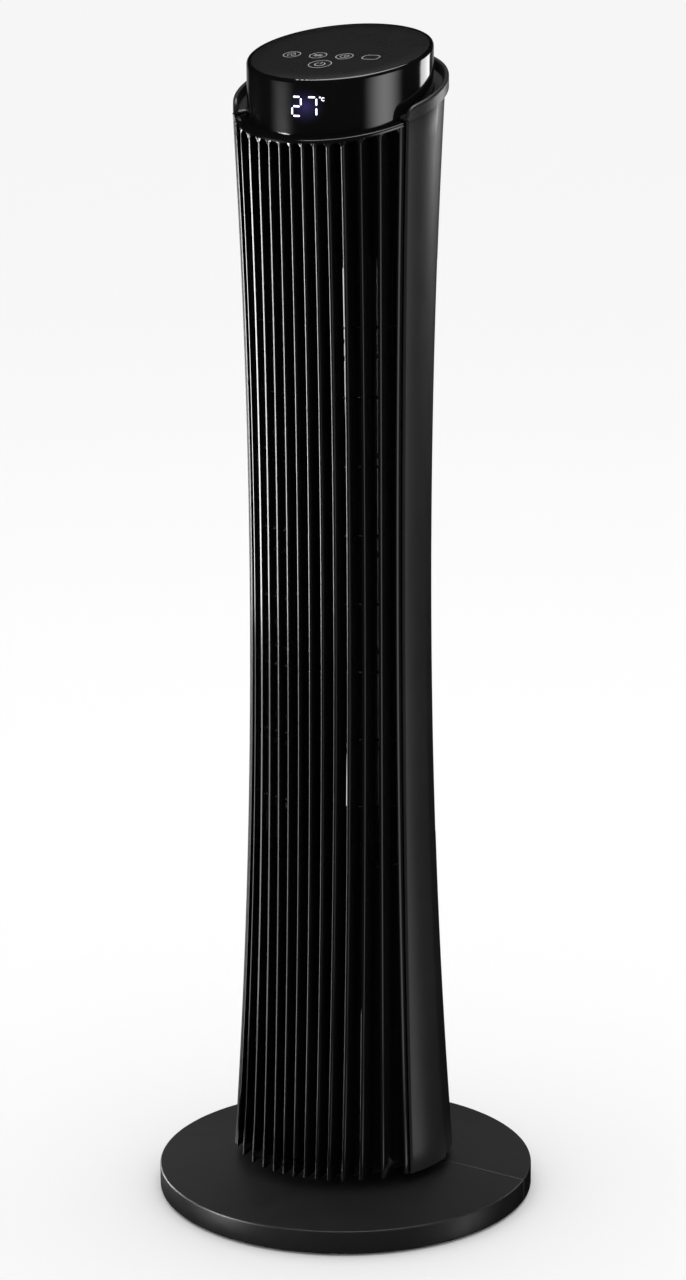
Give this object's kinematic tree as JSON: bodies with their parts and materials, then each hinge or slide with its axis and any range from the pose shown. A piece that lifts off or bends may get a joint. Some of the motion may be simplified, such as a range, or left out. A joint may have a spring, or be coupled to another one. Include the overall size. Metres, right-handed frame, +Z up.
{
  "type": "tower fan",
  "caption": "Slender waisted tower fan on a round base: fin grille, side shells, sloping head with touch panel and lit display, cross-flow impeller, motor and geared swing.",
  "frame": {"origin": "on the floor, under the axis that the tower swings on, which is the centre of the round base", "axes": "+Z up, -Y the tower's front at rest, +X to the right when the fan is looked at from the front"},
  "size_m": [0.3, 0.3, 0.9244],
  "materials": {
    "base_plastic": "satin",
    "casing_plastic": "satin",
    "rear_plastic": "satin",
    "gloss_black": "gloss",
    "touch_plate": "satin",
    "inner_plastic": "matte",
    "white_nylon": "satin",
    "black_rubber": "matte",
    "zinc_steel": "satin",
    "ground_steel": "polished",
    "core_steel": "laminated",
    "copper_wire": "enamelled",
    "bronze_bush": "satin",
    "green_board": "satin",
    "capacitor_case": "satin",
    "spring_metal": "plated",
    "wire_jacket": "satin",
    "display_light": "lit"
  },
  "bodies": {
    "base": {"base_front_half": "base_plastic", "base_rear_half": "base_plastic", "rubber_foot_1": "black_rubber", "rubber_foot_2": "black_rubber", "rubber_foot_3": "black_rubber", "rubber_foot_4": "black_rubber", "pivot_post": "inner_plastic", "base_lock_nut": "inner_plastic", "base_screws": "zinc_steel", "swivel_washer": "inner_plastic", "retaining_ring": "zinc_steel", "sector_gear": "white_nylon", "gear_screws": "zinc_steel", "cord_grommet": "black_rubber"},
    "tower": {"tower_foot": "inner_plastic", "rear_shell": "rear_plastic", "side_panel_left": "casing_plastic", "side_panel_right": "casing_plastic", "front_grille": "gloss_black", "lower_shroud": "gloss_black", "upper_shroud": "gloss_black", "scroll_wall": "inner_plastic", "tongue_wall": "inner_plastic", "motor_plate": "inner_plastic", "duct_roof": "inner_plastic", "bearing_holder": "black_rubber", "top_bearing": "bronze_bush", "top_collar": "rear_plastic", "handle_cup": "rear_plastic", "head_tray": "inner_plastic", "head_shell": "gloss_black", "touch_panel": "touch_plate", "display_module": "inner_plastic", "display_digits": "display_light", "control_board": "green_board", "touch_springs": "spring_metal", "power_board": "green_board", "motor_case_lower": "zinc_steel", "motor_case_upper": "zinc_steel", "stator_core": "core_steel", "motor_windings": "copper_wire", "motor_bushes": "bronze_bush", "motor_dampers": "black_rubber", "run_capacitor": "capacitor_case", "swing_motor": "zinc_steel", "wire_harness": "wire_jacket", "shell_screws": "zinc_steel", "chassis_screws": "zinc_steel"},
    "rotor": {"impeller_segment_1": "inner_plastic", "impeller_segment_2": "inner_plastic", "impeller_segment_3": "inner_plastic", "impeller_segment_4": "inner_plastic", "impeller_segment_5": "inner_plastic", "impeller_segment_6": "inner_plastic", "impeller_bottom_disc": "inner_plastic", "impeller_top_disc": "inner_plastic", "top_stub": "ground_steel", "motor_shaft": "ground_steel", "motor_rotor": "core_steel"},
    "pinion": {"drive_pinion": "white_nylon"}
  },
  "joints": [
    {"name": "tower_swing", "type": "hinge", "parent": "base", "child": "tower", "pos_m": [0, 0, 0.04], "axis": [0, 0, 1], "range_deg": [-34, 46]},
    {"name": "impeller_spin", "type": "hinge", "parent": "tower", "child": "rotor", "pos_m": [0, 0, 0.25], "axis": [0, 0, 1], "continuous": true},
    {"name": "pinion_spin", "type": "hinge", "parent": "tower", "child": "pinion", "pos_m": [0, 0.036, 0.056], "axis": [0, 0, 1], "range_deg": [-170.5, 230.5]}
  ],
  "couplings": [
    {"joint": "pinion_spin", "follows": "tower_swing", "ratio": 5}
  ]
}
